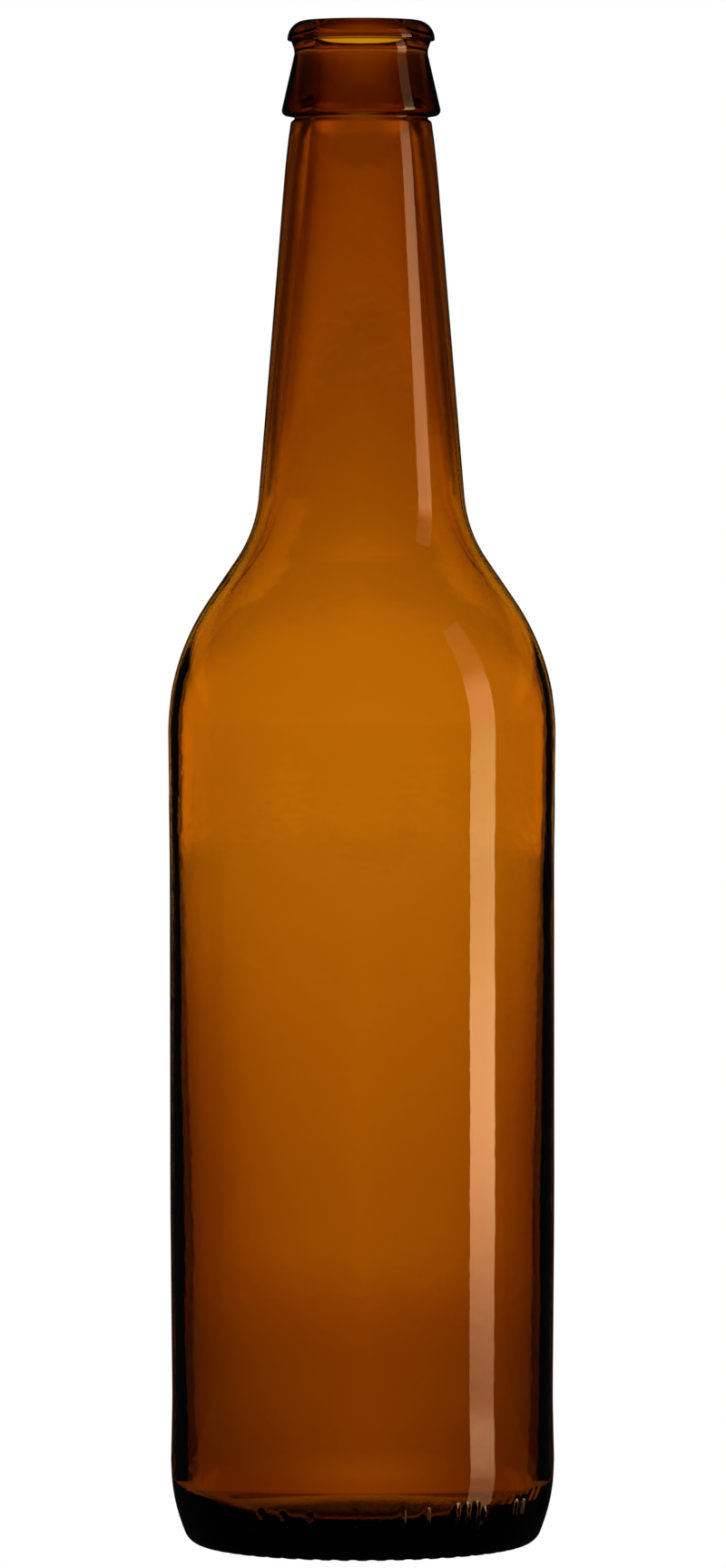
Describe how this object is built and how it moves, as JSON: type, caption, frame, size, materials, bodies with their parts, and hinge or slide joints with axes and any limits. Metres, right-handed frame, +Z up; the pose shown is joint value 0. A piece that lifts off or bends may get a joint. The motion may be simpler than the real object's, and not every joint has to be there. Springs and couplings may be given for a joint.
{
  "type": "long-neck beer bottle",
  "caption": "Empty, uncapped long-neck bottle of amber glass with a crown finish, a round shoulder and a knurled foot, made to hold half a litre of drink.",
  "frame": {"origin": "centre of the foot, on the surface that the bottle stands on", "axes": "+Z up along the bottle's axis, from the foot to the mouth; -Y towards the viewer"},
  "size_m": [0.0684, 0.0684, 0.2686],
  "materials": {
    "amber_glass": "gloss"
  },
  "bodies": {
    "root": {"bottle": "amber_glass"}
  },
  "joints": []
}
